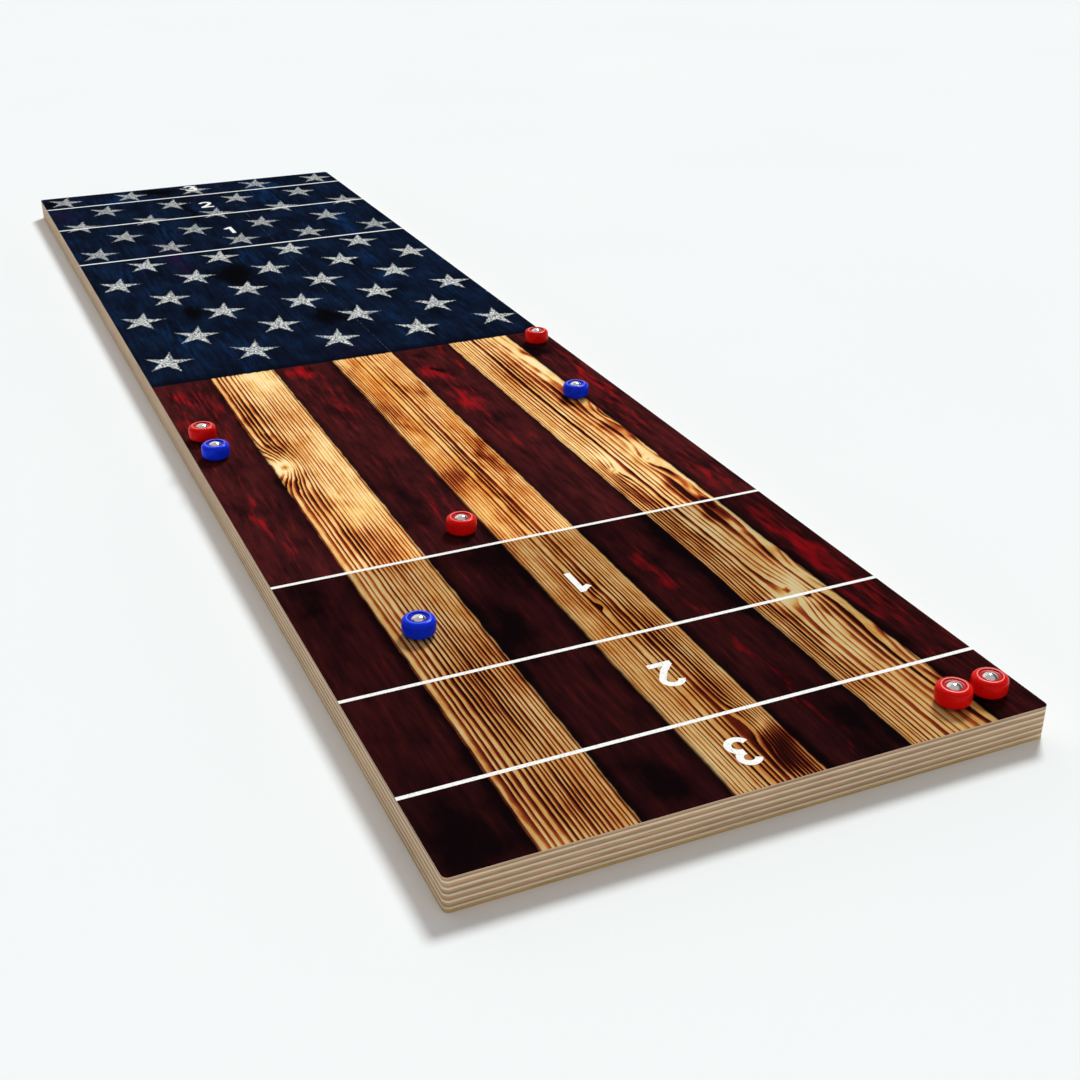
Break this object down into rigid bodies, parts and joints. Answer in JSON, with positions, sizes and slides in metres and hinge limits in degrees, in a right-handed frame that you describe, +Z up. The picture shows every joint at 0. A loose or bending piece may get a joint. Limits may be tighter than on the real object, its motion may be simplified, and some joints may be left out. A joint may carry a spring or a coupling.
{
  "type": "tabletop shuffleboard with rolling pucks",
  "caption": "Flat plywood tabletop shuffleboard with a printed playing face and small rolling pucks that carry a captive steel ball.",
  "frame": {"origin": "centre of the board's underside, on the surface that the board lies on", "axes": "+X across the board, +Y along the board towards the end with the stars, +Z up out of the playing face"},
  "size_m": [0.305, 1.168, 0.0291],
  "materials": {
    "tan_veneer": "sanded cross-cut veneer edge, clear sealed",
    "pale_veneer": "sanded pale veneer edge, clear sealed",
    "face_print": "printed sheet, satin clear coat",
    "puck_red": "moulded red, satin gloss",
    "puck_blue": "moulded blue, satin gloss",
    "steel_ball": "mirror polished"
  },
  "bodies": {
    "board": {"ply_01": "tan_veneer", "ply_02": "pale_veneer", "ply_03": "tan_veneer", "ply_04": "pale_veneer", "ply_05": "tan_veneer", "ply_06": "pale_veneer", "ply_07": "tan_veneer", "ply_08": "pale_veneer", "ply_09": "tan_veneer", "ply_10": "pale_veneer", "ply_11": "tan_veneer", "face_print": "face_print"},
    "puck_red_1": {"puck_red_1_shell": "puck_red", "puck_red_1_retainer": "puck_red"},
    "ball_red_1": {"puck_red_1_ball": "steel_ball"},
    "puck_red_2": {"puck_red_2_shell": "puck_red", "puck_red_2_retainer": "puck_red"},
    "ball_red_2": {"puck_red_2_ball": "steel_ball"},
    "puck_red_3": {"puck_red_3_shell": "puck_red", "puck_red_3_retainer": "puck_red"},
    "ball_red_3": {"puck_red_3_ball": "steel_ball"},
    "puck_red_4": {"puck_red_4_shell": "puck_red", "puck_red_4_retainer": "puck_red"},
    "ball_red_4": {"puck_red_4_ball": "steel_ball"},
    "puck_red_5": {"puck_red_5_shell": "puck_red", "puck_red_5_retainer": "puck_red"},
    "ball_red_5": {"puck_red_5_ball": "steel_ball"},
    "puck_blue_1": {"puck_blue_1_shell": "puck_blue", "puck_blue_1_retainer": "puck_blue"},
    "ball_blue_1": {"puck_blue_1_ball": "steel_ball"},
    "puck_blue_2": {"puck_blue_2_shell": "puck_blue", "puck_blue_2_retainer": "puck_blue"},
    "ball_blue_2": {"puck_blue_2_ball": "steel_ball"},
    "puck_blue_3": {"puck_blue_3_shell": "puck_blue", "puck_blue_3_retainer": "puck_blue"},
    "ball_blue_3": {"puck_blue_3_ball": "steel_ball"}
  },
  "joints": [
    {"name": "puck_red_1_travel", "type": "slide", "parent": "board", "child": "puck_red_1", "axis": [0, 1, 0], "range_m": [-0.318, 0.596]},
    {"name": "ball_red_1_roll", "type": "hinge", "parent": "puck_red_1", "child": "ball_red_1", "pos_m": [0.138, -0.022, 0.02359], "axis": [-1, 0, 0], "continuous": true},
    {"name": "puck_red_2_travel", "type": "slide", "parent": "board", "child": "puck_red_2", "axis": [0, 1, 0], "range_m": [-0.006, 0.68]},
    {"name": "ball_red_2_roll", "type": "hinge", "parent": "puck_red_2", "child": "ball_red_2", "pos_m": [-0.14, -0.106, 0.02359], "axis": [-1, 0, 0], "continuous": true},
    {"name": "puck_red_3_travel", "type": "slide", "parent": "board", "child": "puck_red_3", "axis": [0, 1, 0], "range_m": [-0.272, 0.876]},
    {"name": "ball_red_3_roll", "type": "hinge", "parent": "puck_red_3", "child": "ball_red_3", "pos_m": [-0.034, -0.302, 0.02359], "axis": [-1, 0, 0], "continuous": true},
    {"name": "puck_red_4_travel", "type": "slide", "parent": "board", "child": "puck_red_4", "axis": [0, 1, 0], "range_m": [-0.0105, 0.2035]},
    {"name": "ball_red_4_roll", "type": "hinge", "parent": "puck_red_4", "child": "ball_red_4", "pos_m": [0.112, -0.5635, 0.02359], "axis": [-1, 0, 0], "continuous": true},
    {"name": "puck_red_5_travel", "type": "slide", "parent": "board", "child": "puck_red_5", "axis": [0, 1, 0], "range_m": [-0.0105, 0.2035]},
    {"name": "ball_red_5_roll", "type": "hinge", "parent": "puck_red_5", "child": "ball_red_5", "pos_m": [0.133, -0.5635, 0.02359], "axis": [-1, 0, 0], "continuous": true},
    {"name": "puck_blue_1_travel", "type": "slide", "parent": "board", "child": "puck_blue_1", "axis": [0, 1, 0], "range_m": [-0.203, 0.711]},
    {"name": "ball_blue_1_roll", "type": "hinge", "parent": "puck_blue_1", "child": "ball_blue_1", "pos_m": [0.117, -0.137, 0.02359], "axis": [-1, 0, 0], "continuous": true},
    {"name": "puck_blue_2_travel", "type": "slide", "parent": "board", "child": "puck_blue_2", "axis": [0, 1, 0], "range_m": [-0.435, 0.006]},
    {"name": "ball_blue_2_roll", "type": "hinge", "parent": "puck_blue_2", "child": "ball_blue_2", "pos_m": [-0.139, -0.139, 0.02359], "axis": [-1, 0, 0], "continuous": true},
    {"name": "puck_blue_3_travel", "type": "slide", "parent": "board", "child": "puck_blue_3", "axis": [0, 1, 0], "range_m": [-0.173, 0.975]},
    {"name": "ball_blue_3_roll", "type": "hinge", "parent": "puck_blue_3", "child": "ball_blue_3", "pos_m": [-0.096, -0.401, 0.02359], "axis": [-1, 0, 0], "continuous": true}
  ],
  "couplings": [
    {"joint": "ball_red_1_roll", "follows": "puck_red_1_travel", "rad_per_m": 179.99},
    {"joint": "ball_red_2_roll", "follows": "puck_red_2_travel", "rad_per_m": 179.99},
    {"joint": "ball_red_3_roll", "follows": "puck_red_3_travel", "rad_per_m": 179.99},
    {"joint": "ball_red_4_roll", "follows": "puck_red_4_travel", "rad_per_m": 179.99},
    {"joint": "ball_red_5_roll", "follows": "puck_red_5_travel", "rad_per_m": 179.99},
    {"joint": "ball_blue_1_roll", "follows": "puck_blue_1_travel", "rad_per_m": 179.99},
    {"joint": "ball_blue_2_roll", "follows": "puck_blue_2_travel", "rad_per_m": 179.99},
    {"joint": "ball_blue_3_roll", "follows": "puck_blue_3_travel", "rad_per_m": 179.99}
  ]
}
